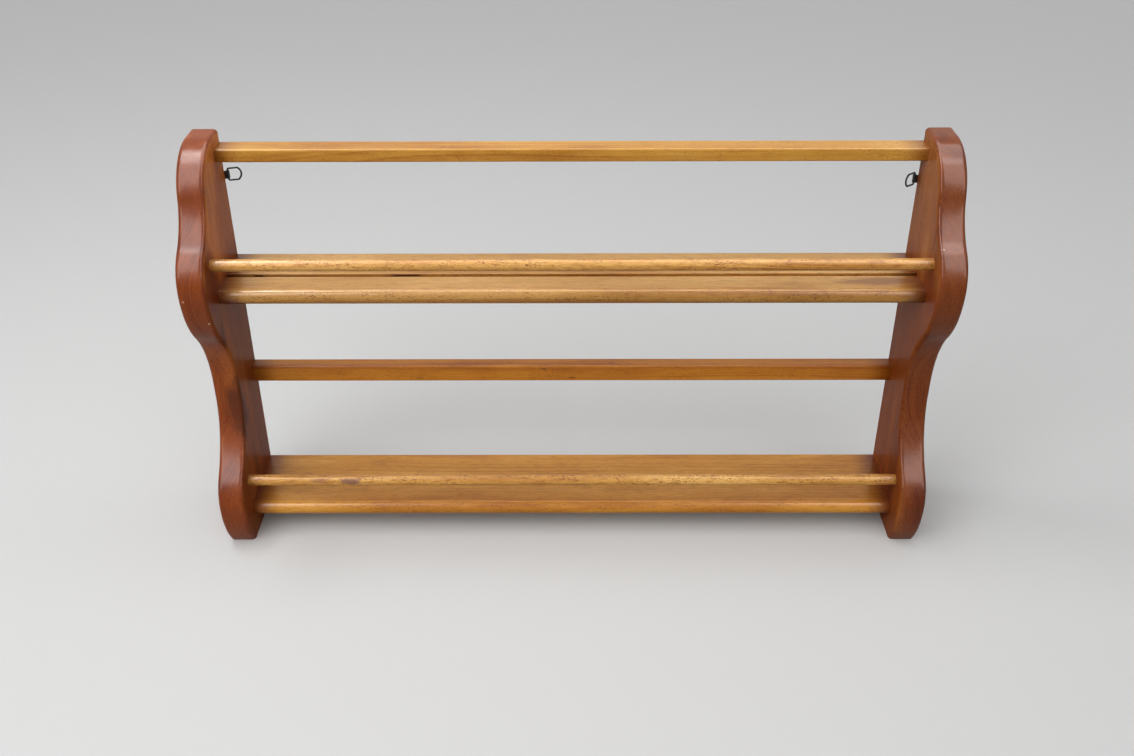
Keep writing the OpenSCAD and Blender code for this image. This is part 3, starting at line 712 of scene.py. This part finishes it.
upper_rod = golden_finish(
    "upper_dowel_varnish", lean=(0.6, 0.3), heart=(0.02, 0.33), seed=21.0, ring_width=0.0050,
    light=(232, 184, 112), middle=(216, 164, 88), dark=(190, 134, 60), line=(206, 166, 116),
    flecks=0.75, mottled=0.5, end_darkening=0.5)
lower_rod = golden_finish(
    "lower_dowel_varnish", lean=(-0.5, 0.4), heart=(0.03, 0.02), seed=27.4, ring_width=0.0050,
    light=(228, 178, 100), middle=(212, 158, 80), dark=(184, 128, 54), line=(206, 164, 112),
    flecks=0.75, mottled=0.5, end_darkening=0.5, marks=[
        ((-0.2887, -0.0468, 0.0895), (0.0160, 0.006, 0.0050), (112, 76, 72), 0.75),
        ((-0.3300, -0.0468, 0.0905), (0.0140, 0.006, 0.0040), (150, 100, 66), 0.6)])
dowel_rod("upper_front_dowel", upper_rod)
dowel_rod("lower_front_dowel", lower_rod)

# ---- The glued pins ----
# Plain beech pins hold the shelves and rails in the sides.
# They are hidden, so the CAD pins stay and take bare wood.
bare, tree, shader = new_finish("bare_beech")
own = along_the_tree(tree, 0, 0)
beech = wood_pattern(tree, own, (0.0, 0.0), Ring_Width=0.0022, Wander=0.01, Seed=33.0)
colour = shades(tree, beech["Clouds"], (0.3, (212, 184, 142)), (0.7, (228, 204, 166)))
colour = blended(tree, "MULTIPLY", beech["Fibres"], colour, tint(226, 206, 178))
colour = blended(tree, "MIX", counted(tree, "MULTIPLY", beech["Pores"], 0.6), colour, tint(160, 120, 78))
tree.links.new(colour, shader["Base Color"])
shader["Roughness"].default_value = 0.62


def give_finish(node, material):
    """Puts a material into every slot of a CAD node that stays in sight."""
    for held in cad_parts[node].material_slots:
        held.material = material


for board in ("upper_shelf", "lower_shelf", "top_rail", "middle_rail"):
    for end in ("left", "right"):
        give_finish(f"{board}_{end}_pins", bare)

# ---- The two hangers ----
# A black wire ring swings in a rolled steel strap, screwed flat to the back edge of each side.
# Wire 2.2 mm, strap 1 mm thick and 10 mm wide; the paint is worn thin where the ring rubs.
def black_finish(name, colour, worn, rough, seed):
    """Black paint over steel, thinner in small worn patches, with a slightly uneven gloss."""
    material, tree, shader = new_finish(name)
    own = tree.nodes.new("ShaderNodeTexCoord").outputs["Object"]
    own = joined(tree, "ShaderNodeMapping", Vector=own, Location=(seed, seed, seed)).outputs[0]
    patch = speckle(tree, own, (420.0, 420.0, 420.0), detail=5.0, roughness=0.6)
    rubbed = carried(tree, patch, 0.56, 0.72, 0.0, 1.0, smooth=True)
    tree.links.new(blended(tree, "MIX", rubbed, tint(*colour), tint(*worn)), shader["Base Color"])
    tree.links.new(carried(tree, patch, 0.3, 0.7, rough - 0.08, rough + 0.1), shader["Roughness"])
    shader["Metallic"].default_value = 0.35
    pits = joined(tree, "ShaderNodeBump", Height=patch, Strength=0.25, Distance=0.0001)
    tree.links.new(pits.outputs[0], shader["Normal"])
    return material


wire_black = black_finish("ring_black", (26, 26, 27), (70, 66, 62), 0.38, 0.3)
strap_black = black_finish("strap_black", (30, 30, 31), (64, 60, 56), 0.46, 1.9)
screw_black = black_finish("screw_black", (34, 34, 35), (96, 92, 88), 0.40, 4.4)
for hand in ("left", "right"):
    give_finish(f"{hand}_hanger_ring", wire_black)
    give_finish(f"{hand}_hanger_strap", strap_black)
    give_finish(f"{hand}_hanger_screw", screw_black)
